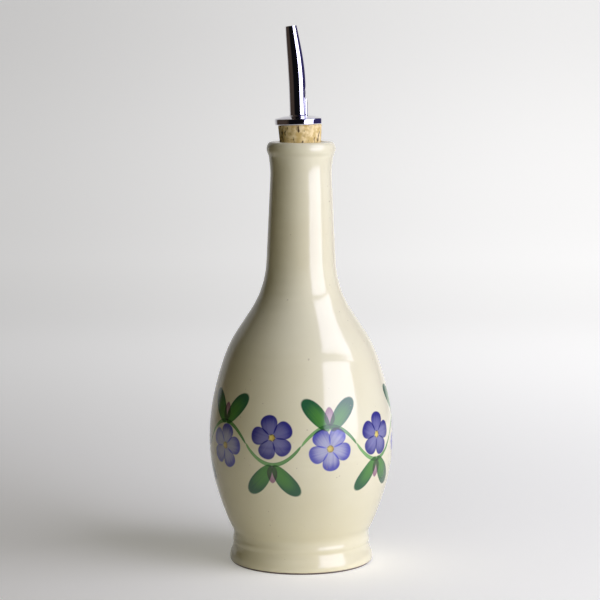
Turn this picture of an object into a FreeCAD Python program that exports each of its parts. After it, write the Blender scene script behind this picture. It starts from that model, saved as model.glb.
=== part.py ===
import FreeCAD, Part
import math
import os

# Hand-thrown stoneware drizzle bottle for oil, stopped by a tapered cork that
# carries a chromed pourer: a pressed collar, a bent and tapered spout, and a
# thin vent tube that lies in a dent in the spout's side.
# Millimetres, +Z up, the bottle's axis is Z and it stands on Z = 0.
# The front faces -Y. Each function makes one separate piece.

Vector = FreeCAD.Vector

# ---- driving dimensions ----

# bottle: outside, turns of the outline from the foot up
FOOT_R = 34.3           # widest turn of the foot band
BAND_R = 33.45          # where the band draws in
BAND_Z = 5.6
GROOVE_R = 32.55        # turned groove over the band
GROOVE_Z = 9.2
BEAD_R = 32.77          # thin bead over the groove
BEAD_Z = 10.7
BEAD_TOP_Z = 12.2
WAIST_R = 32.5          # narrowest turn, between foot and belly
WAIST_Z = 14.9          # sharp corner where the belly starts
BELLY_R = 44.0          # widest turn of the belly
BELLY_Z = 60.0
THROAT_R = 14.65        # narrowest turn of the neck
THROAT_Z = 184.0
LIP_R = 16.35           # rolled lip
LIP_SIDE = 3.2          # depth of its widest turn under the rim
LIP_CORNER = 0.8        # what its outer corner is rounded off by
CREASE_R = 15.5         # crease under the lip
CREASE_Z = 195.2
RIM_Z = 201.4           # top of the ceramic

# shares of the belly's radius, and heights, that shape the wall between those turns
UNDERBELLY = (0.945, 40.0)
SHOULDER = [(0.949, 81.0), (0.833, 99.0), (0.684, 112.0), (0.550, 121.0), (0.375, 145.0)]

# bottle: clay
WALL = 4.6
FLOOR = 6.5
FOOT_RECESS = 1.6       # turned hollow under the base
FOOT_RING = 5.0         # width of the ring it stands on
FOOT_EDGE = 0.8         # round under the foot band
MOUTH_R = 9.45          # bore at the mouth
MOUTH_ROUND = 2.75      # round from the lip into the mouth

# cork
CORK_TOP_R = 10.35
CORK_SQUEEZED_R = 9.7   # at the rim, a little over the mouth it is pressed into
CORK_END_R = 8.1
CORK_ABOVE = 8.1        # height that stands out of the bottle
CORK_BELOW = 19.5       # depth in the neck
CORK_BEVEL = 0.5
CORK_SEAT = 1.0         # depth of the squeezed turn under the rim

# pourer
PLUG_LEAN = 1.9         # degrees that cork and pourer lean to -X
PLUG_OFFSET = -0.3      # where the cork's axis crosses the rim plane
POURER_OFFSET = -0.55   # pourer's axis, off the cork's own axis
COLLAR_R = 11.15
COLLAR_EDGE = 3.0       # thickness of the collar's rolled edge
COLLAR_CROWN = 1.1      # rise of its sloping top
COLLAR_ROUND = 0.6      # round of its edges
COLLAR_BOSS = 0.8       # fillet that rises to the spout
TUBE_R = 4.0
TUBE_WALL = 0.55
TUBE_BELOW = 21.5       # depth of the spout's lower end under the rim
SPOUT_LENGTH = 54.6     # along its axis, from the rim plane to the tip
TAPER_LENGTH = 24.0
TAPER = 1.35            # what the radius loses towards the tip
TAPER_POWER = 1.6       # slow at first, then quicker
NOZZLE_STEPS = 8        # sections of the bent, tapering part
BEND_START = 24.5
BEND_LENGTH = 18.5
BEND_ANGLE = 5.7        # degrees, to -X
VENT_R = 1.0
VENT_BORE_R = 0.6
VENT_TOP = 21.1
VENT_BELOW = 27.0
VENT_TURN = -8.0        # degrees about the spout's axis, from +X towards the front
VENT_SLANT = 51.0       # degrees that its mouth is cut on
VENT_SLANT_DROP = 1.35  # the cut crosses its axis this far under the top
DENT_R = 3.4            # round of the dent that the vent tube lies in
DENT_FLOOR = 2.62       # distance of its floor from the spout's axis
DENT_TOP = 21.4         # where the floor starts to ramp out
DENT_RAMP = 19.0        # degrees
DENT_EXIT = 14.0        # length of the ramp, past the spout's outside
SOLDER_SINK = 0.15      # depth that the vent tube is let into the dent
OVERSHOOT = 1.0         # how far a bore's cutter runs past each end


# ---- outline helpers, in the XZ half plane: x is the radius ----

STRAIGHT = 0.03         # radians; an arc that turns less is drawn as a straight line
UP = Vector(0, 0, 1)
DOWN = Vector(0, 0, -1)
INWARDS = Vector(-1, 0, 0)


def point(radius, height):
    return Vector(radius, 0, height)


def line(start, end):
    return Part.makeLine(start, end)


def arc(start, middle, end):
    return Part.Arc(start, middle, end).toShape()


def arc_from(start, direction, end):
    # the one arc that leaves start along direction and reaches end, and its direction there
    chord = end - start
    half_turn = direction.getAngle(chord)
    along = chord * (1 / chord.Length)
    end_direction = along * (2 * along.dot(direction)) - direction
    bulge = direction - end_direction
    if bulge.Length < STRAIGHT:
        return line(start, end), along
    bulge.normalize()
    middle = (start + end) * 0.5 + bulge * (chord.Length / 2 * math.tan(half_turn / 2))
    return arc(start, middle, end), end_direction


def arc_chain(points, direction):
    # arcs that run smoothly into one another through the points, and the direction at each point
    edges = []
    directions = [direction]
    for start, end in zip(points, points[1:]):
        edge, direction = arc_from(start, direction, end)
        edges.append(edge)
        directions.append(direction)
    return edges, directions


def level_off(start, direction, height):
    # the arc that leaves start along direction and runs out level, inwards, at this height
    turn = direction.getAngle(INWARDS)
    end = point(start.x - abs(height - start.z) / math.tan(turn / 2), height)
    return arc_from(start, direction, end)[0], end


def lines_round(places):
    # straight lines from place to place and back to the first
    return [line(start, end) for start, end in zip(places, places[1:] + places[:1])]


def turned(edges):
    outline = Part.Wire(Part.__sortEdges__(edges))
    return Part.Face(outline).revolve(Vector(0, 0, 0), Vector(0, 0, 1), 360)


# ---- bottle ----

CORNER = point(WAIST_R + 0.05, WAIST_Z)
CREASE = point(CREASE_R, CREASE_Z)


def wall_stations():
    # places on the outside from the belly's widest turn up to the throat, and down to the waist
    belly = point(BELLY_R, BELLY_Z)
    shoulder = [point(BELLY_R * share, height) for share, height in SHOULDER]
    share, height = UNDERBELLY
    return [belly, *shoulder, point(THROAT_R, THROAT_Z)], [belly, point(BELLY_R * share, height), CORNER]


def inset(place, direction):
    # one wall inside a place of the outer face; direction is the outline's own, going up
    return place + Vector(-direction.z, 0, direction.x) * WALL


def foot_edges():
    # hollow base, ring, band with its groove, and the bead up to the waist
    seat_r = FOOT_R - FOOT_EDGE
    ring_r = seat_r - FOOT_RING
    recess = point(ring_r - FOOT_RECESS, FOOT_RECESS)
    band_low = point(FOOT_R, FOOT_EDGE * 2)
    groove = point(GROOVE_R, GROOVE_Z)
    bead_top = point(WAIST_R, BEAD_TOP_Z)
    band = arc_chain([band_low, point(BAND_R, BAND_Z), groove], UP)[0]
    edge_round = arc_from(band_low, DOWN, point(seat_r, 0))[0]
    return band + [
        edge_round,
        line(point(seat_r, 0), point(ring_r, 0)),
        line(point(ring_r, 0), recess),
        line(recess, point(0, FOOT_RECESS)),
        arc(groove, point(BEAD_R, BEAD_Z), bead_top),
        line(bead_top, CORNER),
    ]


def lip_edges(mouth):
    # rolled bead, level crown, and a round into the mouth
    side = point(LIP_R, RIM_Z - LIP_SIDE)
    shoulder = point(LIP_R - LIP_CORNER, RIM_Z - LIP_CORNER)
    upper, directions = arc_chain([side, shoulder], UP)
    corner_round, crown = level_off(shoulder, directions[-1], RIM_Z)
    crown_end = point(MOUTH_R + MOUTH_ROUND, RIM_Z)
    bead = arc_from(side, DOWN, CREASE)[0]
    mouth_round = arc_from(crown_end, INWARDS, mouth)[0]
    return [bead, *upper, corner_round, line(crown, crown_end), mouth_round]


def make_bottle():
    up_stations, down_stations = wall_stations()
    outer_up, up_directions = arc_chain(up_stations + [CREASE], UP)
    outer_down, down_directions = arc_chain(down_stations, DOWN)
    # the inner face leaves out every second station of the shoulder
    kept = (0, 2, 4, 5, 6)
    inner_up_stations = [inset(up_stations[i], up_directions[i]) for i in kept]
    inner_down_stations = [inset(p, d * -1) for p, d in zip(down_stations, down_directions)]
    inner_up = arc_chain(inner_up_stations, UP)[0]
    inner_down, inner_directions = arc_chain(inner_down_stations, DOWN)
    floor_round, floor_rim = level_off(inner_down_stations[-1], inner_directions[-1], FLOOR)
    mouth = point(MOUTH_R, RIM_Z - MOUTH_ROUND)
    edges = outer_up + outer_down + inner_up + inner_down + foot_edges() + lip_edges(mouth)
    edges += [
        line(inner_up_stations[-1], mouth),
        floor_round,
        line(floor_rim, point(0, FLOOR)),
        line(point(0, FLOOR), point(0, FOOT_RECESS)),
    ]
    return turned(edges)


# ---- cork and pourer, made upright on their own axis with the rim plane at Z = 0 ----

def seat_in_mouth(shape):
    shape.rotate(Vector(0, 0, 0), Vector(0, 1, 0), -PLUG_LEAN)
    shape.translate(Vector(PLUG_OFFSET, 0, RIM_Z))
    return shape


def seat_pourer(shape):
    shape.translate(Vector(POURER_OFFSET, 0, 0))
    return seat_in_mouth(shape)


def make_cork_blank():
    # a tapered plug with bevelled ends, squeezed where it enters the mouth
    end_r = CORK_END_R - CORK_BEVEL
    top_r = CORK_TOP_R - CORK_BEVEL
    places = [
        point(0, -CORK_BELOW),
        point(end_r, -CORK_BELOW),
        point(CORK_END_R, CORK_BEVEL - CORK_BELOW),
        point(CORK_SQUEEZED_R, -CORK_SEAT),
        point(CORK_TOP_R, CORK_ABOVE - CORK_BEVEL),
        point(top_r, CORK_ABOVE),
        point(0, CORK_ABOVE),
    ]
    return seat_in_mouth(turned(lines_round(places)))


def make_collar_blank():
    # a cap with a rolled edge, a top that slopes up to the spout, and a boss round it
    low = CORK_ABOVE
    top = low + COLLAR_EDGE
    crown = top + COLLAR_CROWN
    boss_top = crown + COLLAR_BOSS
    rim_r = COLLAR_R - COLLAR_ROUND
    low_side = point(COLLAR_R, low + COLLAR_ROUND)
    top_side = point(COLLAR_R, top - COLLAR_ROUND)
    low_round = arc_from(low_side, DOWN, point(rim_r, low))[0]
    top_round = arc_from(top_side, UP, point(rim_r, top))[0]
    inside = [
        point(rim_r, top),
        point(TUBE_R + COLLAR_BOSS, crown),
        point(TUBE_R, boss_top),
        point(0, boss_top),
        point(0, low),
        point(rim_r, low),
    ]
    edges = [line(start, end) for start, end in zip(inside, inside[1:])]
    return turned(edges + [low_round, line(low_side, top_side), top_round])


def spout_frame(length):
    # point and direction of the spout's axis, at a length above the rim plane
    radius = BEND_LENGTH / math.radians(BEND_ANGLE)
    along = min(max(length - BEND_START, 0), BEND_LENGTH)
    angle = along / radius
    straight = length - BEND_START - along
    direction = Vector(-math.sin(angle), 0, math.cos(angle))
    bent = Vector(radius * (math.cos(angle) - 1), 0, BEND_START + radius * math.sin(angle))
    return bent + direction * straight, direction


def spout_radius(length):
    from_tip = SPOUT_LENGTH - length
    share = max(1 - from_tip / TAPER_LENGTH, 0)
    return TUBE_R - TAPER * share ** TAPER_POWER


def spout_body(inset_by, overshoot):
    # a straight shank and a nozzle lofted through round sections along the bent axis;
    # inset_by is the wall, and overshoot runs past both ends
    bottom = -TUBE_BELOW - overshoot
    top = SPOUT_LENGTH + overshoot
    sections = []
    for step in range(NOZZLE_STEPS + 1):
        length = BEND_START + (top - BEND_START) * step / NOZZLE_STEPS
        centre, direction = spout_frame(length)
        circle = Part.makeCircle(spout_radius(length) - inset_by, centre, direction)
        sections.append(Part.Wire([circle]))
    nozzle = Part.makeLoft(sections, True, True)
    shank = Part.makeCylinder(TUBE_R - inset_by, BEND_START - bottom, Vector(0, 0, bottom))
    return shank.fuse(nozzle)


def towards_vent(distance, height):
    turn = math.radians(VENT_TURN)
    return Vector(distance * math.cos(turn), distance * math.sin(turn), height)


def dent_cutter(extra):
    # a round bar along the spout that ramps out of its side; extra grows it by the wall
    bottom = -VENT_BELOW
    radius = DENT_R + extra
    knee = towards_vent(DENT_FLOOR + DENT_R, DENT_TOP)
    ramp = math.radians(DENT_RAMP)
    out = towards_vent(math.sin(ramp), math.cos(ramp))
    bar = Part.makeCylinder(radius, DENT_TOP - bottom, Vector(knee.x, knee.y, bottom))
    ball = Part.makeSphere(radius, knee)
    exit_bar = Part.makeCylinder(radius, DENT_EXIT, knee, out)
    return bar.fuse([ball, exit_bar])


def make_spout_envelope():
    return spout_body(0, 0).cut(dent_cutter(0))


def make_spout_channel():
    return spout_body(TUBE_WALL, OVERSHOOT).cut(dent_cutter(TUBE_WALL))


def make_vent_envelope():
    centre = DENT_FLOOR + VENT_R - SOLDER_SINK
    tube = Part.makeCylinder(VENT_R, VENT_BELOW + VENT_TOP, towards_vent(centre, -VENT_BELOW))
    # the mouth is cut on a slant, its opening towards the spout and the front
    block = VENT_R * 8
    slant = Part.makeBox(block, block, block, Vector(-block / 2, -block / 2, 0))
    slant.rotate(Vector(0, 0, 0), Vector(-1, 1, 0), -VENT_SLANT)
    slant.translate(towards_vent(centre, VENT_TOP - VENT_SLANT_DROP))
    return tube.cut(slant)


def make_vent_bore():
    centre = DENT_FLOOR + VENT_R - SOLDER_SINK
    length = VENT_BELOW + VENT_TOP + 2 * OVERSHOOT
    return Part.makeCylinder(VENT_BORE_R, length, towards_vent(centre, -VENT_BELOW - OVERSHOOT))


def make_pieces():
    bottle = make_bottle()
    spout_solid = make_spout_envelope()
    vent_solid = make_vent_envelope().cut(spout_solid)
    spout = seat_pourer(spout_solid.cut(make_spout_channel()))
    vent_tube = seat_pourer(vent_solid.cut(make_vent_bore()))
    collar = seat_pourer(make_collar_blank().cut([spout_solid, vent_solid]))
    seated_tubes = [seat_pourer(spout_solid.copy()), seat_pourer(vent_solid.copy())]
    cork = make_cork_blank().cut([bottle] + seated_tubes)
    return {
        "bottle": bottle,
        "cork": cork,
        "collar": collar,
        "spout": spout,
        "vent_tube": vent_tube,
    }


def main():
    os.makedirs("parts", exist_ok=True)
    for name, shape in make_pieces().items():
        solid = shape.Solids[0] if len(shape.Solids) == 1 else shape
        print(f"{name}: solids {len(shape.Solids)}, valid {solid.isValid()}, "
              f"volume {solid.Volume / 1000:.2f} cm3")
        solid.exportStep(f"parts/{name}.step")


main()
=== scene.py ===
# %% [markdown]
# # A hand-thrown drizzle bottle
# The object is a stoneware oil bottle, turned on a potter's wheel, painted with
# a flowering vine under a clear glossy glaze, and stopped by a cork that carries
# a chromed pouring spout. The solids come from CAD as a fixed frame. This script
# dresses them: it turns a finer bottle with throwing rings, paints it, pits the
# cork, and polishes the metal. Every length is in metres.

import math

import bmesh
import bpy
from mathutils import Euler, Matrix, Vector, noise
from mathutils.geometry import interpolate_bezier


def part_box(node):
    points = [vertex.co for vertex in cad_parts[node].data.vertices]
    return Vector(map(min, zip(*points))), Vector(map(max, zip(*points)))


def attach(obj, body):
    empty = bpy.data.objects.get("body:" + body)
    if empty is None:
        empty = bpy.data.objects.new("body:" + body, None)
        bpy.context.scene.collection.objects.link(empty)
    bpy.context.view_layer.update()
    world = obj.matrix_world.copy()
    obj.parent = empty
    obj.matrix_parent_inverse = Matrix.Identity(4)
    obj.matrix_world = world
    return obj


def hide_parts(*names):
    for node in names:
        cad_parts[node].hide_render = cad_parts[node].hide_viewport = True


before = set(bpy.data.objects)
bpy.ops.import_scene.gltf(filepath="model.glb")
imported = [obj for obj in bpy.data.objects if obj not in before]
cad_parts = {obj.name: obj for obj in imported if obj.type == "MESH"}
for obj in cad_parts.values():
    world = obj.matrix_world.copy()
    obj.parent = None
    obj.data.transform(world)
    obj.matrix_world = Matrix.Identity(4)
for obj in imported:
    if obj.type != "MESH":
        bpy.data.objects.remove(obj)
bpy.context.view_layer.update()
ROOT = "root"

for node in sorted(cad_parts):
    low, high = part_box(node)
    print(node, "from", [round(v, 4) for v in low], "to", [round(v, 4) for v in high])

# %% [markdown]
# ## The camera
# The bottle is seen from its painted front, from about a metre away and a little
# above its middle. A long lens keeps the neck and the foot nearly free of
# perspective. Set first, the camera shows at once whether a piece is in its place.

# %% Camera
FILM_WIDTH = 36.0          # millimetres, Blender's own default sensor
LENS = 132.9               # millimetres
CAMERA_PLACE = (-0.00050, -1.050, 0.252)
LOOKS_DOWN = math.radians(6.85)

camera_data = bpy.data.cameras.new("camera")
camera_data.sensor_width = FILM_WIDTH
camera_data.lens = LENS
camera = bpy.data.objects.new("camera", camera_data)
camera.location = CAMERA_PLACE
camera.rotation_euler = Euler((math.radians(90) - LOOKS_DOWN, 0, 0))
bpy.context.scene.collection.objects.link(camera)
bpy.context.scene.camera = camera
bpy.context.scene.view_settings.view_transform = "Standard"
print("camera looks from", [round(v, 3) for v in camera.location])

# %% [markdown]
# ## Meshes from rows
# Every piece here is round: a bottle, a cork, a collar and two tubes. Each can be
# spun with a Screw modifier, but a spun piece is round to the last detail, and
# hand-made clay, pitted cork and a dented tube are not. So each mesh is built from
# rows of points that go once round the piece, and each row is free to wander.

# %% Helper: a closed skin through rows of points
SHARP = math.radians(40)    # edges that fold more than this stay crisp


def skin(name, rows, first=None, last=None, label=None):
    """A solid through rows of points. It closes on two end points, or its last row meets its
    first. label(across, row, highest row of the face) puts a corner on a flat map."""
    around = len(rows[0])
    points = [point for row in rows for point in row]
    faces, corners = [], []
    joins = [(row, row + 1) for row in range(len(rows) - 1)]
    if first is None:
        joins.append((len(rows) - 1, 0))
    for low, high in joins:
        for i in range(around):
            j = (i + 1) % around
            faces.append((low * around + i, low * around + j,
                          high * around + j, high * around + i))
            corners.append([(i, low), (i + 1, low), (i + 1, high), (i, high)])
    if first is not None:
        end = len(rows) - 1
        points += [first, last]
        for i in range(around):
            j = (i + 1) % around
            faces.append((len(points) - 2, j, i))
            corners.append([(i + 0.5, -1), (i + 1, 0), (i, 0)])
            faces.append((len(points) - 1, end * around + i, end * around + j))
            corners.append([(i + 0.5, end + 1), (i, end), (i + 1, end)])
    mesh = bpy.data.meshes.new(name)
    mesh.from_pydata([tuple(point) for point in points], [], faces)
    if label:
        flat_map = mesh.uv_layers.new(name="OFBake")
        for face, places in zip(mesh.polygons, corners):
            highest = max(row for _, row in places)
            for loop, (column, row) in zip(face.loop_indices, places):
                flat_map.data[loop].uv = label(column / around, row, highest)
    mesh.shade_smooth()
    mesh.set_sharp_from_angle(angle=SHARP)
    piece = bpy.data.objects.new(name, mesh)
    bpy.context.scene.collection.objects.link(piece)
    print(name, "has", len(mesh.polygons), "faces")
    return piece


def circle(count):
    """Angles that go once round, from +X towards +Y."""
    return [2 * math.pi * i / count for i in range(count)]


# %% [markdown]
# ## The bottle's outline
# The CAD bottle is turned too, so one line of its corners, the seam on the +X
# side, is its whole outline: from the middle of the base, round the foot, up the
# belly and the neck, over the lip, and down inside to the floor. Copying numbers
# by hand could drift from the solid, so the outline is read from the frame's mesh
# and then run through smooth Bezier pieces.

# %% Read the outline from the seam
TOUCHING = 1e-6             # closer than this is the same point


def seam_outline(node):
    """(radius, height) of the corners along the seam of a turned CAD node, from the base on."""
    work = bmesh.new()
    work.from_mesh(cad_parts[node].data)
    bmesh.ops.remove_doubles(work, verts=work.verts, dist=TOUCHING)
    seam = {v for v in work.verts if abs(v.co.y) < TOUCHING and v.co.x > 0}

    def neighbours(vertex):
        return [e.other_vert(vertex) for e in vertex.link_edges if e.other_vert(vertex) in seam]

    ends = [v for v in seam if len(neighbours(v)) == 1]
    here = min(ends, key=lambda v: v.co.z)
    outline = []
    while here is not None:
        outline.append((here.co.x, here.co.z))
        seam.discard(here)
        here = next(iter(neighbours(here)), None)
    work.free()
    return outline


cad_outline = seam_outline("bottle")
print("the seam has", len(cad_outline), "points, the widest at",
      [round(v, 4) for v in max(cad_outline)])

# %% Run smooth curves through it
OUTSIDE_STEP, INSIDE_STEP = 0.0008, 0.0040     # spacing of the rows
CORNER = math.radians(28)                       # a bigger turn than this stays a corner
LIP_POINTS = 6                                  # corners past the rim that still get the fine rows


def smooth_outline(points):
    """Bezier pieces through the points, in short steps outside and longer ones inside the rim."""
    places = [Vector((r, 0, z)) for r, z in points]
    rim = max(range(len(places)), key=lambda i: places[i].z)

    def tangent(i, side):
        ahead = places[min(i + 1, len(places) - 1)] - places[i]
        behind = places[i] - places[max(i - 1, 0)]
        if i in (0, len(places) - 1) or ahead.angle(behind) > CORNER:
            return (ahead if side > 0 else behind).normalized() if i else ahead.normalized()
        return (ahead.normalized() + behind.normalized()).normalized()

    smooth = [places[0]]
    for i in range(len(places) - 1):
        start, end = places[i], places[i + 1]
        reach = (end - start).length / 3
        step = OUTSIDE_STEP if i < rim + LIP_POINTS else INSIDE_STEP
        steps = max(round((end - start).length / step), 1)
        leave = start + tangent(i, 1) * reach
        arrive = end - (tangent(i + 1, -1) if i + 1 < len(places) - 1
                        else (end - start).normalized()) * reach
        smooth += interpolate_bezier(start, leave, arrive, end, steps + 1)[1:]
    return [(place.x, place.z) for place in smooth]


outline = smooth_outline(cad_outline)
lip_top = max(height for _, height in outline)
lip_index = max(range(len(outline)), key=lambda i: outline[i][1])
print("the smooth outline has", len(outline), "points and reaches", round(lip_top, 4))

# %% [markdown]
# ## Throwing rings
# A potter's fingers leave faint rings that climb the wall as a slow spiral, and a
# few stand out where the hand stopped. Bump mapping could fake them, but a glossy
# glaze shows its form in the edges of reflections, so the rings are real relief:
# a few hundredths of a millimetre, always cut inwards, so the bottle grows nowhere.

# %% The rings
RING_PITCH = 0.0065
RING_DEPTH = 0.00004
DRIFT_SCALE = 60            # how fast the hand wanders on its way up
# deeper marks: height, half width and depth
MARKS = [(0.0062, 0.0007, 0.00005), (0.0088, 0.0006, 0.00004), (0.0530, 0.0009, 0.00012),
         (0.0560, 0.0008, 0.00014), (0.0595, 0.0009, 0.00012), (0.0625, 0.0008, 0.00008),
         (0.0820, 0.0020, 0.00005), (0.1020, 0.0014, 0.00005), (0.1295, 0.0018, 0.00008)]
WALL_FROM, WALL_TO = 0.018, 0.190              # between the foot and the lip
FADE = 0.010


def throwing_ring(angle, height):
    """How deep the fingers cut into the outside, at a place on the wall."""
    drift = noise.noise((math.cos(angle), math.sin(angle), height * DRIFT_SCALE))
    turn = height / RING_PITCH - angle / (2 * math.pi) + drift * 0.5
    fade = max(min(height - WALL_FROM, WALL_TO - height, FADE) / FADE, 0)
    depth = fade * RING_DEPTH * (1 + math.sin(2 * math.pi * turn)) / 2
    for place, width, deep in MARKS:
        depth += deep * math.exp(-(((height - place) / width) ** 2))
    return depth * (0.8 + 0.5 * drift)


print("the deepest mark cuts", max(deep for _, _, deep in MARKS) / 0.001, "mm")

# %% Turn the bottle
AROUND = 216

rows = []
for index, (radius, height) in enumerate(outline):
    row = []
    for angle in circle(AROUND):
        turned = radius - (throwing_ring(angle, height) if index < lip_index else 0)
        row.append((turned * math.cos(angle), turned * math.sin(angle), height))
    rows.append(row)
OUTSIDE_SHARE = 0.84        # part of the flat map's width that the outside takes
GUTTER = 0.01


def map_place(across, row, highest):
    """A flat map: the outside unrolled on the left, the inside in a narrow strip on the right."""
    if highest > lip_index:
        up = (len(rows) - row) / (len(rows) - lip_index)
        across = OUTSIDE_SHARE + GUTTER + across * (1 - OUTSIDE_SHARE - 2 * GUTTER)
    else:
        up = (row + 1) / (lip_index + 1)
        across = GUTTER + across * (OUTSIDE_SHARE - 2 * GUTTER)
    return across, GUTTER + up * (1 - 2 * GUTTER)


bottle = skin("glazed_bottle", rows, first=(0, 0, outline[0][1]), last=(0, 0, outline[-1][1]),
              label=map_place)
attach(bottle, ROOT)
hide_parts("bottle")
print("the glazed bottle stands", round(lip_top, 4), "high")

# %% [markdown]
# ## Shader maths that reads as maths
# A shader is a web of small nodes. Clicked together in the editor it is easy to
# see and hard to repeat, and the bottle needs the same brush stroke many times.
# So one small class wraps an output socket, and +, -, * and / on it add the Math
# nodes. Any other node comes from one method that takes its type, its settings
# and what goes into its sockets.

# %% Helper: sums of sockets


class Wire:
    """An output of a shader node that can be used in sums."""

    def __init__(self, web, socket):
        self.web = web
        self.socket = socket

    def __getitem__(self, name):
        return Wire(self.web, self.socket.node.outputs[name])

    def __add__(self, other):
        return self.web.maths("ADD", self, other)

    def __sub__(self, other):
        return self.web.maths("SUBTRACT", self, other)

    def __rsub__(self, other):
        return self.web.maths("SUBTRACT", other, self)

    def __mul__(self, other):
        return self.web.maths("MULTIPLY", self, other)

    def __truediv__(self, other):
        return self.web.maths("DIVIDE", self, other)

    __radd__ = __add__
    __rmul__ = __mul__


# %% Helper: a web of nodes


class Web:
    """A tree of shader nodes under construction."""

    def __init__(self, tree):
        self.tree = tree
        self.tree.nodes.clear()

    def node(self, kind, settings=None, sockets=None, output=0):
        """Adds a node: its settings first, then the values or wires of its sockets."""
        made = self.tree.nodes.new(kind if kind.startswith("NodeGroup") else "ShaderNode" + kind)
        for name, value in (settings or {}).items():
            setattr(made, name, value)
        for name, value in (sockets or {}).items():
            if isinstance(value, Wire):
                self.tree.links.new(value.socket, made.inputs[name])
            else:
                made.inputs[name].default_value = value
        return Wire(self, made.outputs[output]) if made.outputs else made

    def maths(self, operation, *values):
        """A Math node, for numbers."""
        return self.node("Math", {"operation": operation}, dict(enumerate(values)))

    def step(self, value, low, high):
        """0 below low and 1 above high, or the other way round where low is the larger."""
        return self.node("MapRange", {"interpolation_type": "SMOOTHSTEP"},
                         {"Value": value, "From Min": low, "From Max": high})

    def mix(self, share, one, other, blend="MIX"):
        """one where share is 0 and other where it is 1, as colours."""
        return self.node("Mix", {"data_type": "RGBA", "blend_type": blend},
                         {0: share, 6: one, 7: other}, output=2)

    def grain(self, where, scale, detail):
        """Cloudy noise, from 0 to 1."""
        return self.node("TexNoise", None, {"Vector": where, "Scale": scale, "Detail": detail})


# %% Helper: a whole material, and a tool used many times


class Finish(Web):
    """A material."""

    def __init__(self, name):
        self.material = bpy.data.materials.new(name)
        self.material.use_nodes = True
        super().__init__(self.material.node_tree)

    def end_in(self, shader):
        self.node("OutputMaterial", None, {"Surface": shader})
        return self.material

    def surface(self, sockets):
        """Ends the material in a Principled shader with these sockets."""
        return self.end_in(self.node("BsdfPrincipled", None, sockets))


class Tool(Web):
    """A node group: a small web with named inputs that other webs use as one node."""

    def __init__(self, name, **inputs):
        super().__init__(bpy.data.node_groups.new(name, "ShaderNodeTree"))
        for label, kind in inputs.items():
            self.tree.interface.new_socket(label, in_out="INPUT", socket_type="NodeSocket" + kind)
        self.given = self.node("NodeGroupInput")

    def gives(self, label, kind, wire):
        self.tree.interface.new_socket(label, in_out="OUTPUT", socket_type="NodeSocket" + kind)
        self.node("NodeGroupOutput", None, {label: wire})


# %% [markdown]
# ## The brush strokes
# The vine is painted in underglaze colours: each petal, bud and leaf is one
# press of a loaded brush, darker where the colour pooled at its outer end. Image
# textures would hold a picture; here the shader holds the strokes themselves. The
# bottle's skin is laid flat, as metres round from the front and metres up. A few
# sums move, turn and scale that flat place into the stroke's own frame, where the
# stroke is a soft-edged egg. Colours multiply, as clear glaze colours do, so
# crossing strokes go dark. The sums sit in one node group that every stroke uses
# again. They take single numbers, because Cycles keeps what a long chain of nodes
# has made on a small stack, and a hundred strokes worked in vectors overflow it.

# %% The skin laid flat
BELLY_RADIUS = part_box("bottle")[1].x
MM = 0.001


def laid_flat(finish):
    """The place in space, and how far round from the front and how far up it lies on the skin."""
    place = finish.node("TexCoord", output="Object")
    xyz = finish.node("SeparateXYZ", None, {"Vector": place})
    around = finish.maths("ARCTAN2", xyz["X"], xyz["Y"] * -1)
    return place, around * BELLY_RADIUS, xyz["Z"]


half_way = math.pi * BELLY_RADIUS
print("laid flat, the skin is", round(2 * half_way / MM), "mm wide")

# %% One stroke
brush = Tool("brush_stroke", Painted="Color", Round="Float", Up="Float", AtRound="Float",
             AtUp="Float", Turn="Float", HalfLength="Float", HalfWidth="Float", Heel="Color",
             Tip="Color", Taper="Float", Bend="Float", Blunt="Float", Soft="Float", Wash="Float")
given = brush.given
right = brush.maths("WRAP", given["Round"] - given["AtRound"], half_way, -half_way)
up = given["Up"] - given["AtUp"]
cosine, sine = brush.maths("COSINE", given["Turn"]), brush.maths("SINE", given["Turn"])
along = (right * cosine + up * sine) / given["HalfLength"]
across = (up * cosine - right * sine) / given["HalfWidth"]
across = (across + (along * along - 0.5) * given["Bend"]) / (along * given["Taper"] + 1)
reach = brush.maths("POWER", brush.maths("ABSOLUTE", along), given["Blunt"]) + across * across
hairs = brush.node("TexNoise", {"noise_dimensions": "1D"},
                   {"W": across * 3.4 + along * 0.5 + given["AtRound"] * 900,
                    "Scale": 1.0, "Detail": 2.0})
pooled = brush.step(along * 0.9 + reach * 0.85 + hairs * 0.7, -0.25, 1.65)
mask = brush.step(reach, given["Soft"] + 1, 1 - given["Soft"]) * given["Wash"]
brush.gives("Painted", "Color", brush.mix(mask, given["Painted"], brush.mix(
    pooled, given["Heel"], given["Tip"]), "MULTIPLY"))


SOFT_EDGE = 0.9             # millimetres


def stroke(finish, painted, flat, at, tilt, size, colours, taper=0.0, bend=0.0, blunt=2,
           wash=1.0):
    """Lays a stroke over painted: its size is (length, width), its colours (heel, tip)."""
    length, width = size
    return finish.node("Group", {"node_tree": brush.tree}, {
        "Painted": painted, "Round": flat[0], "Up": flat[1], "AtRound": at[0] * MM,
        "AtUp": at[1] * MM, "Turn": math.radians(tilt), "HalfLength": length * MM / 2,
        "HalfWidth": width * MM / 2, "Heel": (*colours[0], 1), "Tip": (*colours[1], 1),
        "Taper": taper, "Bend": bend, "Blunt": blunt, "Soft": SOFT_EDGE / width, "Wash": wash})


print("the brush is a group of", len(brush.tree.nodes), "nodes")

# %% [markdown]
# ## A flowering vine
# The decoration is a running vine, one of the oldest borders on pots: a stem that
# waves round the belly, with a five-petalled flower in each hollow, and a bud
# between two leaves on each crest. It is laid out by sums and not drawn: the waves
# divide the belly evenly, so the vine closes on itself, and a small wander in the
# height and the turn keeps two flowers from being twins. Lengths are in
# millimetres, tilts in degrees, and a colour may be above 1 because it multiplies
# the cream under it.

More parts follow.
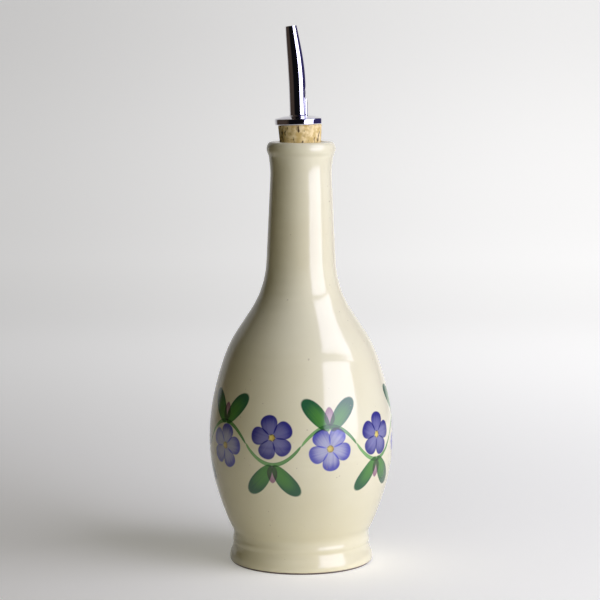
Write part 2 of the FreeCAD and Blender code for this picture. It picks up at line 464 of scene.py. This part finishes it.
# %% The painter's colours
GREENS = {"leaf": ((0.10, 0.35, 0.075), (0.028, 0.145, 0.088)),
          "stem": ((0.24, 0.54, 0.24), (0.12, 0.34, 0.13)),
          "heart": ((0.92, 0.80, 0.30), (0.62, 0.46, 0.12))}
VIOLETS = {"deep": ((0.24, 0.25, 0.72), (0.045, 0.045, 0.40)),
           "light": ((0.58, 0.62, 1.15), (0.11, 0.12, 0.78)),
           "pink": ((0.60, 0.44, 0.66), (0.40, 0.22, 0.42))}
print("the painter mixes", len(GREENS) + len(VIOLETS), "colours")

# %% One flower
PETAL_COUNT = 5
PETAL, PETAL_REACH = (9.4, 8.2), 5.9           # length and width, and how far out it sits
HEART = (3.4, 3.4)


def flower(finish, painted, flat, at, spin, colours):
    """Petals round a heart, the first of them at the angle spin."""
    for petal in range(PETAL_COUNT):
        out = spin + 360 / PETAL_COUNT * petal
        place = (at[0] + PETAL_REACH * math.cos(math.radians(out)),
                 at[1] + PETAL_REACH * math.sin(math.radians(out)))
        painted = stroke(finish, painted, flat, place, out, PETAL, colours, taper=0.28)
    return stroke(finish, painted, flat, at, 0, HEART, GREENS["heart"])


print("a flower is", round(2 * (PETAL_REACH + PETAL[0] / 2)), "mm across")

# %% Half a wave of the vine
WAVES = 5                   # round the bottle
VINE_UP, SWING = 63, 9.0    # the middle of the vine, and how far it swings up and down
STEM_WIDTH = 2.0
LEAF, BUD = (19.0, 8.0), (8.4, 5.0)            # length and width
LEAF_ASIDE, LEAF_OUT, LEAF_TILT = 6.6, 6.4, 48
BUD_OUT, FLOWER_IN = 4.6, 2.6
WANDER_UP, WANDER_PACE, WANDER_TURN = 1.3, 2.1, 26
half_wave = math.pi * BELLY_RADIUS / MM / WAVES


def vine(finish, painted, flat, number):
    """Half a wave: its stem, a flower in the hollow, and a bud and two leaves on the crest."""
    side = 1 if number % 2 else -1
    x = (number + 0.5 - WAVES) * half_wave
    wander = WANDER_UP * math.sin(WANDER_PACE * number)
    crest = VINE_UP + side * SWING
    painted = stroke(finish, painted, flat, (x, VINE_UP + side * SWING / 2), 0,
                     (half_wave, STEM_WIDTH), GREENS["stem"], bend=side * SWING / STEM_WIDTH * 2,
                     blunt=16)
    for way in (-1, 1):
        painted = stroke(
            finish, painted, flat, (x + way * LEAF_ASIDE, crest + side * (LEAF_OUT + wander)),
            90 - way * (90 - side * LEAF_TILT), LEAF, GREENS["leaf"], taper=0.12,
            bend=way * side * 0.15)
    painted = stroke(finish, painted, flat, (x, crest + side * BUD_OUT), side * 90, BUD,
                     VIOLETS["pink"], taper=-0.2)
    return flower(finish, painted, flat, (x, VINE_UP - side * (FLOWER_IN + wander)),
                  WANDER_TURN * number, VIOLETS["light" if side > 0 else "deep"])


print("the vine is", round(2 * WAVES * half_wave), "mm long and has", 2 * WAVES, "flowers")

# %% [markdown]
# ## The glazed surface
# The gloss glaze over cream clay could be a clear coat over a rough body. Here it
# is one Principled shader, a smooth dielectric with the paint in its base colour,
# which is simpler and looks the same. The glaze is never quite even, so the cream
# drifts a little in tone and tiny iron specks show through. The ring it stands on
# was wiped clean and is bare, matt clay, painted darker than the clay itself as
# the contact shadow under the foot.

# %% Glaze material
CREAM = (0.80, 0.763, 0.545, 1)
WARM_CREAM = (0.77, 0.722, 0.495, 1)
IRON = (0.30, 0.22, 0.14, 1)
# painted shade: the bare clay is darker than the clay itself, so the ring also stands for the
# contact shadow under the foot
BARE_CLAY_AND_CONTACT_SHADE = (0.13, 0.09, 0.085, 1)
GLAZE_ENDS, GLAZE_EDGE = 0.0008, 0.0001        # height of the bare ring, and its soft border
GLOSS, MATT = 0.13, 0.83

glaze = Finish("glaze")
place, around, height = laid_flat(glaze)
flat = (around, height)
tone = glaze.step(glaze.grain(place, 22.0, detail=3.0), 0.35, 0.7)
painted = glaze.mix(tone, CREAM, WARM_CREAM)
for number in range(2 * WAVES):
    painted = vine(glaze, painted, flat, number)
specks = glaze.step(glaze.grain(place, 700.0, detail=0.0), 0.83, 0.87)
painted = glaze.mix(specks * 0.35, painted, IRON)
# the bare ring gets matt roughness and the clay colour darkened as painted contact shade
bare = glaze.step(height, GLAZE_ENDS + 2 * GLAZE_EDGE, GLAZE_ENDS - GLAZE_EDGE)
colour = glaze.mix(bare, painted, BARE_CLAY_AND_CONTACT_SHADE)
ripple = glaze.grain(place, 160.0, detail=1.0)
bump = glaze.node("Bump", None, {"Strength": 0.05, "Distance": 0.0004, "Height": ripple})
bottle.data.materials.append(glaze.surface({
    "Base Color": colour, "Roughness": bare * (MATT - GLOSS) + GLOSS, "IOR": 1.6,
    "Normal": bump}))
print("the glaze has", len(glaze.tree.nodes), "nodes")

# %% [markdown]
# ## The pourer's seat
# Cork, collar and tubes share one axis that leans a little, because the cork was
# pressed in by hand. Each is made upright with the rim of the bottle at zero, and
# then set on that axis, as it is on the real bottle.

# %% Seat
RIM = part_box("bottle")[1].z
LEAN = math.radians(-1.9)
CORK_SHIFT = -0.0003
POURER_SHIFT = -0.00055
cork_seat = Matrix.Translation((CORK_SHIFT, 0, RIM)) @ Matrix.Rotation(LEAN, 4, "Y")
pourer_seat = cork_seat @ Matrix.Translation((POURER_SHIFT, 0, 0))


def ring(radius, height, count, wobble=None):
    """A level row of points round the upright axis."""
    row = []
    for angle in circle(count):
        reach = radius + (wobble(angle, height) if wobble else 0)
        row.append(Vector((reach * math.cos(angle), reach * math.sin(angle), height)))
    return row


def seated(seat, rows):
    """Upright rows set on the leaning axis."""
    return [[seat @ point for point in row] for row in rows]


print("the cork leans", round(math.degrees(LEAN), 2), "degrees")

# %% [markdown]
# ## The cork
# Natural cork is cut across its growth, so its side shows pits and dark streaks,
# the lenticels. Pits that catch the light must be real dents; fine grain can stay
# in the shader. Only the collar's width of cork shows above the lip, but the whole
# plug is made, because the part is looked at from every side.

# %% Cork mesh
CORK_ABOVE, CORK_BELOW = 0.0081, 0.0195
CORK_TOP, CORK_SQUEEZED, CORK_END = 0.01035, 0.0097, 0.0081
CORK_BEVEL = 0.0005
CORK_AROUND, CORK_STEPS = 180, 34
MOUTH_LIP = 0.001           # how far down the mouth squeezes the cork
PIT_DEPTH = 0.0007


def pits(angle, height):
    """Cork dents: a few deep ones where a stretched noise peaks."""
    spot = Vector((math.cos(angle) * 2.6, math.sin(angle) * 2.6, height * 330))
    deep = max(noise.noise(spot + Vector((4.3, 1.7, 0))) - 0.34, 0) * 3.2
    fine = max(noise.noise(spot * 3.1) - 0.25, 0) * 0.5
    return -PIT_DEPTH * min(deep + fine, 1)


cork_rows = [ring(CORK_END - CORK_BEVEL, -CORK_BELOW, CORK_AROUND)]
for step in range(CORK_STEPS + 1):
    z = -CORK_BELOW + CORK_BEVEL + (CORK_BELOW - CORK_BEVEL - MOUTH_LIP) * step / CORK_STEPS
    share = (z + CORK_BELOW) / CORK_BELOW
    cork_rows.append(ring(CORK_END + (CORK_SQUEEZED - CORK_END) * share, z, CORK_AROUND))
for step in range(1, CORK_STEPS + 1):
    z = -MOUTH_LIP + (CORK_ABOVE - CORK_BEVEL + MOUTH_LIP) * step / CORK_STEPS
    share = (z + MOUTH_LIP) / (CORK_ABOVE + MOUTH_LIP)
    cork_rows.append(ring(CORK_SQUEEZED + (CORK_TOP - CORK_SQUEEZED) * share, z,
                          CORK_AROUND, pits))
cork_rows.append(ring(CORK_TOP - CORK_BEVEL, CORK_ABOVE, CORK_AROUND))
cork = skin("cork_plug", seated(cork_seat, cork_rows),
            first=cork_seat @ Vector((0, 0, -CORK_BELOW)),
            last=cork_seat @ Vector((0, 0, CORK_ABOVE)))
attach(cork, ROOT)
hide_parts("cork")

# %% Cork material
CORK_LIGHT = (0.87, 0.71, 0.39, 1)
CORK_MID = (0.60, 0.44, 0.165, 1)
CORK_DARK = (0.095, 0.058, 0.024, 1)

bark = Finish("cork")
place = bark.node("TexCoord", output="Object")
grains = bark.node("TexVoronoi", None, {"Vector": place, "Scale": 900.0})
cells = bark.step(bark.grain(place, 420.0, detail=3.0), 0.35, 0.66)
colour = bark.mix(cells, CORK_MID, CORK_LIGHT)
upright = bark.node("Mapping", None, {"Vector": place, "Scale": (1, 1, 0.45)})
streaks = bark.grain(upright, 520.0, detail=2.0)
colour = bark.mix(bark.step(streaks, 0.575, 0.69), colour, CORK_DARK)
relief = streaks * -0.6 + grains["Distance"] * 0.3
bump = bark.node("Bump", None, {"Strength": 0.5, "Distance": 0.0003, "Height": relief})
cork.data.materials.append(bark.surface({"Base Color": colour, "Roughness": 0.85,
                                         "Specular IOR Level": 0.2, "Normal": bump}))
print("the cork has", len(bark.tree.nodes), "nodes")

# %% [markdown]
# ## The chromed pourer
# The pourer is pressed and bent from tube: a collar with a rolled edge, a spout
# that tapers and leans over, and a thin vent tube soldered into a dent down its
# side. Chrome shows every kink in a surface, so all three are made finer than the
# CAD solids but on the same measures.

# %% Collar
COLLAR_RADIUS, COLLAR_EDGE, COLLAR_CROWN = 0.01115, 0.0030, 0.0011
EDGE_ROUND, BOSS = 0.0006, 0.0008
FLAT_UNDER = 0.001          # the flat of the underside ends this far inside the edge
TUBE_RADIUS, TUBE_PRESS = 0.0040, 0.0003
COLLAR_AROUND, CROWN_STEPS = 160, 12


def rounded(centre_r, centre_z, radius, start, end, steps=8):
    """Points of an arc in the outline, from one angle to another in degrees."""
    angles = [math.radians(start + (end - start) * i / steps) for i in range(steps + 1)]
    return [(centre_r + radius * math.cos(a), centre_z + radius * math.sin(a)) for a in angles]


edge_r = COLLAR_RADIUS - EDGE_ROUND
collar_low = CORK_ABOVE
collar_top = collar_low + COLLAR_EDGE
crown_top = collar_top + COLLAR_CROWN
collar_bore = TUBE_RADIUS - TUBE_PRESS
collar_outline = [(collar_bore, collar_low), (edge_r - FLAT_UNDER, collar_low)]
collar_outline += rounded(edge_r, collar_low + EDGE_ROUND, EDGE_ROUND, -90, 0)
collar_outline += rounded(edge_r, collar_top - EDGE_ROUND, EDGE_ROUND, 0, 84)
boss_start = TUBE_RADIUS + BOSS
for step in range(1, CROWN_STEPS + 1):
    share = step / CROWN_STEPS
    collar_outline.append((edge_r + (boss_start - edge_r) * share,
                           collar_top + COLLAR_CROWN * math.sin(share * math.pi / 2)))
collar_outline += [(boss_start - BOSS * math.sin(a), crown_top + BOSS * (1 - math.cos(a)))
                   for a in (math.radians(15 * i) for i in range(1, 7))]
collar_outline.append((collar_bore, crown_top + BOSS))
collar_rows = [ring(r, z, COLLAR_AROUND) for r, z in collar_outline]
collar = skin("collar_cap", seated(pourer_seat, collar_rows))

# %% The spout's bend and dent
BEND_START, BEND_LENGTH, BEND_ANGLE = 0.0245, 0.0185, math.radians(5.7)
VENT_SIDE = math.radians(-8)
DENT_FLOOR, DENT_ROUND, DENT_TOP, DENT_RAMP = 0.00262, 0.0034, 0.0214, math.radians(19)


def spout_axis(length):
    """A place on the bent axis, and how far the axis has leaned over there."""
    radius = BEND_LENGTH / BEND_ANGLE
    bent = min(max(length - BEND_START, 0), BEND_LENGTH)
    lean = bent / radius
    rest = length - BEND_START - bent
    return Vector((radius * (math.cos(lean) - 1) - rest * math.sin(lean), 0,
                   BEND_START + radius * math.sin(lean) + rest * math.cos(lean))), lean


def dent_reach(length, angle):
    """How far from the axis the dent lets the wall stand, or None beside it."""
    away = DENT_FLOOR + DENT_ROUND + max(length - DENT_TOP, 0) * math.tan(DENT_RAMP)
    turn = angle - VENT_SIDE
    inside = DENT_ROUND ** 2 - (away * math.sin(turn)) ** 2
    if math.cos(turn) <= 0 or inside <= 0:
        return None
    return away * math.cos(turn) - math.sqrt(inside)


print("the spout's end leans over by", round(math.degrees(spout_axis(1.0)[1]), 2), "degrees")

# %% Spout
TUBE_WALL, TUBE_BELOW, SPOUT_LENGTH = 0.00055, 0.0215, 0.0546
TAPER_LENGTH, TAPER, TAPER_POWER = 0.0240, 0.00135, 1.6
CREASE_SOFT = 0.00025
TUBE_AROUND, TUBE_STEPS = 120, 150
EDGE = 0.00012              # rounding of the spout's mouth


def spout_row(length, wall):
    """A row of the spout's skin, one wall inside the outer face."""
    centre, lean = spout_axis(length)
    share = max(1 - (SPOUT_LENGTH - length) / TAPER_LENGTH, 0)
    full = TUBE_RADIUS - TAPER * share ** TAPER_POWER
    turn = Matrix.Rotation(-lean, 3, "Y")
    row = []
    for a in circle(TUBE_AROUND):
        dent = dent_reach(length, a)
        radius = full
        if dent is not None:
            gap = min(max(0.5 + (dent - full) / CREASE_SOFT / 2, 0), 1)
            radius = dent * (1 - gap) + full * gap - CREASE_SOFT * gap * (1 - gap)
        radius -= wall
        row.append(centre + turn @ Vector((radius * math.cos(a), radius * math.sin(a), 0)))
    return row


lengths = [-TUBE_BELOW + (SPOUT_LENGTH + TUBE_BELOW) * i / TUBE_STEPS
           for i in range(TUBE_STEPS + 1)]
lengths[0], lengths[-1] = -TUBE_BELOW, SPOUT_LENGTH - EDGE
spout_rows = [spout_row(length, 0) for length in lengths]
spout_rows += [spout_row(SPOUT_LENGTH, EDGE), spout_row(SPOUT_LENGTH, TUBE_WALL - EDGE)]
spout_rows += [spout_row(length, TUBE_WALL) for length in reversed(lengths)]
spout = skin("pouring_spout", seated(pourer_seat, spout_rows))

# %% Vent tube
VENT_RADIUS, VENT_BORE, VENT_TOP, VENT_BELOW = 0.0010, 0.0006, 0.0211, 0.0270
SOLDER_SINK = 0.00015
SLANT, SLANT_DROP = math.radians(51), 0.00135
VENT_AROUND, VENT_STEPS = 48, 40
vent_away = DENT_FLOOR + VENT_RADIUS - SOLDER_SINK
vent_centre = Vector((vent_away * math.cos(VENT_SIDE), vent_away * math.sin(VENT_SIDE), 0))


def vent_row(radius, share):
    """A row of the vent tube, from its lower end (0) to its slanted mouth (1)."""
    row = []
    for a in circle(VENT_AROUND):
        offset = Vector((radius * math.cos(a), radius * math.sin(a), 0))
        fall = (offset.x + offset.y) / math.sqrt(2) * math.tan(SLANT)
        top = min(VENT_TOP, VENT_TOP - SLANT_DROP - fall)
        row.append(vent_centre + offset + Vector((0, 0, -VENT_BELOW + (top + VENT_BELOW) * share)))
    return row


shares = [i / VENT_STEPS for i in range(VENT_STEPS + 1)]
vent_rows = [vent_row(VENT_RADIUS, share) for share in shares]
vent_rows += [vent_row(VENT_BORE, share) for share in reversed(shares)]
vent = skin("vent_tube_fine", seated(pourer_seat, vent_rows))

for piece, node, slot_name in ((collar, "collar", "chrome_collar"),
                               (spout, "spout", "chrome_spout"),
                               (vent, "vent_tube", "chrome_vent")):
    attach(piece, ROOT)
    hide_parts(node)

# %% [markdown]
# ## Chrome
# Chrome has hardly a colour of its own: what it shows is the room. So the finish is
# a bare metal, a little blue, and handling leaves smudges on it that dull the shine
# in patches.

# %% Chrome material
CHROME, SMUDGED = (0.72, 0.71, 0.78, 1), (0.66, 0.64, 0.68, 1)

chrome = Finish("chrome")
place = chrome.node("TexCoord", output="Object")
smudge = chrome.step(chrome.grain(place, 260.0, detail=3.0), 0.45, 0.75)
colour = chrome.mix(smudge, CHROME, SMUDGED)
chrome_material = chrome.surface({"Base Color": colour, "Metallic": 1.0,
                                  "Roughness": smudge * 0.06 + 0.05})
for piece in (collar, spout, vent):
    piece.data.materials.append(chrome_material)
print("the chrome has", len(chrome.tree.nodes), "nodes")

# %% [markdown]
# ## The set
# A pale sweep of paper runs under the bottle and up behind it, so no horizon
# shows. Plain white paper would fill in the bottle's dark side and brighten all
# the chrome, so the paper answers each kind of ray by itself. The camera sees a
# diffuse surface that takes the shadow, lifted by a glow that fades to the left.
# The light it throws back on the bottle is dim from far away, and warm and
# strong from close by. Polished metal mirrors the paper near and behind it, and
# elsewhere a dark room, brown on the left and blue on the right.

# %% Paper sweep
SWEEP_FRONT, SWEEP_BACK, SWEEP_WIDE, SWEEP_HIGH, SWEEP_ROUND = -3.0, 1.1, 6.0, 3.5, 0.9

sweep_line = [(SWEEP_FRONT, 0.0), (SWEEP_BACK, 0.0)]
for degrees in range(6, 91, 6):
    angle = math.radians(degrees)
    sweep_line.append((SWEEP_BACK + SWEEP_ROUND * math.sin(angle),
                       SWEEP_ROUND * (1 - math.cos(angle))))
sweep_line.append((SWEEP_BACK + SWEEP_ROUND, SWEEP_HIGH))
sweep_points = [(x, y, z) for y, z in sweep_line for x in (-SWEEP_WIDE / 2, SWEEP_WIDE / 2)]
sweep_mesh = bpy.data.meshes.new("paper_sweep")
sweep_mesh.from_pydata(sweep_points, [], [(i, i + 1, i + 3, i + 2)
                                          for i in range(0, len(sweep_points) - 2, 2)])
sweep_mesh.shade_smooth()
sweep = bpy.data.objects.new("paper_sweep", sweep_mesh)
bpy.context.scene.collection.objects.link(sweep)
print("the paper sweep has", len(sweep_mesh.polygons), "faces")

# %% The dark room
ROOM_FRONT = (0.005, 0.005, 0.006, 1)
ROOM_LEFT = (0.062, 0.045, 0.034, 1)
ROOM_RIGHT = (0.045, 0.038, 0.13, 1)


def grey(level):
    """A colour without hue."""
    return level, level, level, 1


def room_seen(web, azimuth):
    """What polished metal mirrors of the unlit room, by the azimuth from the bottle."""
    shade = web.mix(web.step(azimuth, -0.75, -1.10), ROOM_FRONT, ROOM_LEFT)
    return web.mix(web.step(azimuth, 0.35, 0.60), shade, ROOM_RIGHT)


# %% What the camera sees of the paper
FLOOR_LEFT, FLOOR_RIGHT = (0.150, 0.145, 0.136, 1), grey(0.350)
WALL_LEFT, WALL_RIGHT = grey(0.45), grey(0.80)
PAPER_LIT = (0.84, 0.83, 0.73, 1)

paper = Finish("paper")
rays = paper.node("LightPath")
place = paper.node("SeparateXYZ", None, {"Vector": paper.node("TexCoord", output="Object")})
azimuth = paper.maths("ARCTAN2", place["X"], place["Y"] * -1)
away = paper.maths("POWER", place["X"] * place["X"] + place["Y"] * place["Y"], 0.5)
far = paper.step(place["Y"], -0.05, 0.8)
across = paper.step(place["X"] / (place["Y"] + 1.4), -0.165, 0.14)
floor_glow = paper.mix(across, FLOOR_LEFT, FLOOR_RIGHT)
wall_glow = paper.mix(across, WALL_LEFT, WALL_RIGHT)
fold = paper.step(paper.maths("ABSOLUTE", place["Y"] - 1.15), 0.0, 0.28)
dimmer = paper.step(place["Z"], 0.05, 0.30) * 0.13 + paper.step(place["Z"], 0.02, 0.0) * 0.04
wall_glow = paper.mix(dimmer + fold * 0.065, wall_glow, grey(0))
glow = paper.mix(far, floor_glow, wall_glow)
lit = paper.node("BsdfDiffuse", None, {"Color": PAPER_LIT})
lift = paper.node("Emission", None, {"Color": glow, "Strength": 1.0})
shown = paper.node("AddShader", None, {0: lit, 1: lift})

# %% What the bottle gets of the paper
BOUNCE_FAR, BOUNCE_NEAR = (0.34, 0.31, 0.23, 1), (0.88, 0.825, 0.63, 1)

behind = paper.maths("MAXIMUM", paper.step(azimuth, 2.45, 2.70),
                     paper.step(azimuth, -2.20, -2.45))
mirrored = rays["Is Glossy Ray"] * paper.maths("MAXIMUM", behind, paper.step(away, 0.9, 0.5))
seen = paper.maths("MAXIMUM", mirrored, paper.maths(
    "MAXIMUM", rays["Is Camera Ray"], rays["Is Transmission Ray"]))
near = paper.step(away, 0.45, 0.12)
bounce = paper.node("BsdfDiffuse", None, {"Color": paper.mix(near, BOUNCE_FAR, BOUNCE_NEAR)})
dim = paper.node("Emission", None, {"Color": room_seen(paper, azimuth), "Strength": 1.0})
unseen = paper.node("MixShader", None, {0: rays["Is Glossy Ray"], 1: bounce, 2: dim})
sweep.data.materials.append(paper.end_in(
    paper.node("MixShader", None, {0: seen, 1: unseen, 2: shown})))
print("the paper has", len(paper.tree.nodes), "nodes")

# %% [markdown]
# ## The light
# Two softboxes stand close on the right, one above the other and each rolled a
# little: their reflections down the neck and the belly say glossy, and the gap
# between them shows how the wall curves. One large softbox would be simpler, but
# its reflection is one unbroken stripe. Two weak fills soften the front and the
# right edge. Reflections don't see them and they cast no shadow, so the bottle
# keeps one set of highlights and one shadow, and its left side falls dark.

# %% Softboxes
KEY_AZIMUTH, KEY_AWAY = math.radians(51), 0.90
KEY_RADIANCE = 12.2         # watts for a square metre of panel
KEY_COLOUR = (1.0, 1.0, 1.25)


def panel(name, azimuth, away, aside, up, size, roll, watts, colour):
    """A flat light that faces the bottle's axis, moved aside and rolled in its own plane."""
    data = bpy.data.lights.new(name, "AREA")
    data.shape = "RECTANGLE"
    data.size, data.size_y = size
    data.energy, data.color = watts, colour
    light = bpy.data.objects.new(name, data)
    light.location = (away * math.sin(azimuth) + aside * math.cos(azimuth),
                      aside * math.sin(azimuth) - away * math.cos(azimuth), up)
    light.rotation_euler = Euler((math.radians(90), roll, azimuth))
    light.visible_camera = False
    bpy.context.scene.collection.objects.link(light)
    print(name, "stands at", [round(v, 3) for v in light.location])
    return light


for name, aside, up, wide, high, roll in (("low_softbox", 0.05, 0.310, 0.76, 0.65, 12),
                                          ("high_softbox", 0.37, 1.03, 0.95, 0.70, 19)):
    panel(name, KEY_AZIMUTH, KEY_AWAY, aside, up, (wide, high), math.radians(roll),
          KEY_RADIANCE * wide * high, KEY_COLOUR)

# %% Fills
FILL_UP, FILL_SIZE = 0.5, (0.8, 1.0)

for name, azimuth, away, watts, colour in (("side_fill", 100, 1.2, 1.8, (0.92, 0.96, 1.3)),
                                           ("front_fill", 22, 1.4, 4.2, (1.0, 0.98, 0.79))):
    fill = panel(name, math.radians(azimuth), away, 0, FILL_UP, FILL_SIZE, 0, watts, colour)
    fill.visible_glossy = fill.data.use_shadow = False

# %% [markdown]
# ## The room
# Where no paper stands, a ray meets the world. It could be one grey, but then
# metal and shade would both turn grey: so it gives a faint warm light, a dark room
# to polished metal, and a plain pale ground to the camera.

# %% Room
ROOM_LIGHT, ROOM_GROUND = (0.032, 0.028, 0.018, 1), grey(0.72)

world = bpy.data.worlds.new("room")
world.use_nodes = True
bpy.context.scene.world = world
room = Web(world.node_tree)
rays = room.node("LightPath")
toward = room.node("SeparateXYZ", None, {"Vector": room.node("TexCoord", output="Generated")})
shade = room.mix(rays["Is Glossy Ray"], ROOM_LIGHT,
                 room_seen(room, room.maths("ARCTAN2", toward["X"], toward["Y"] * -1)))
shade = room.mix(rays["Is Camera Ray"], shade, ROOM_GROUND)
room.node("OutputWorld", None, {"Surface": room.node("Background", None, {"Color": shade})})
print("the room has", len(room.tree.nodes), "nodes")
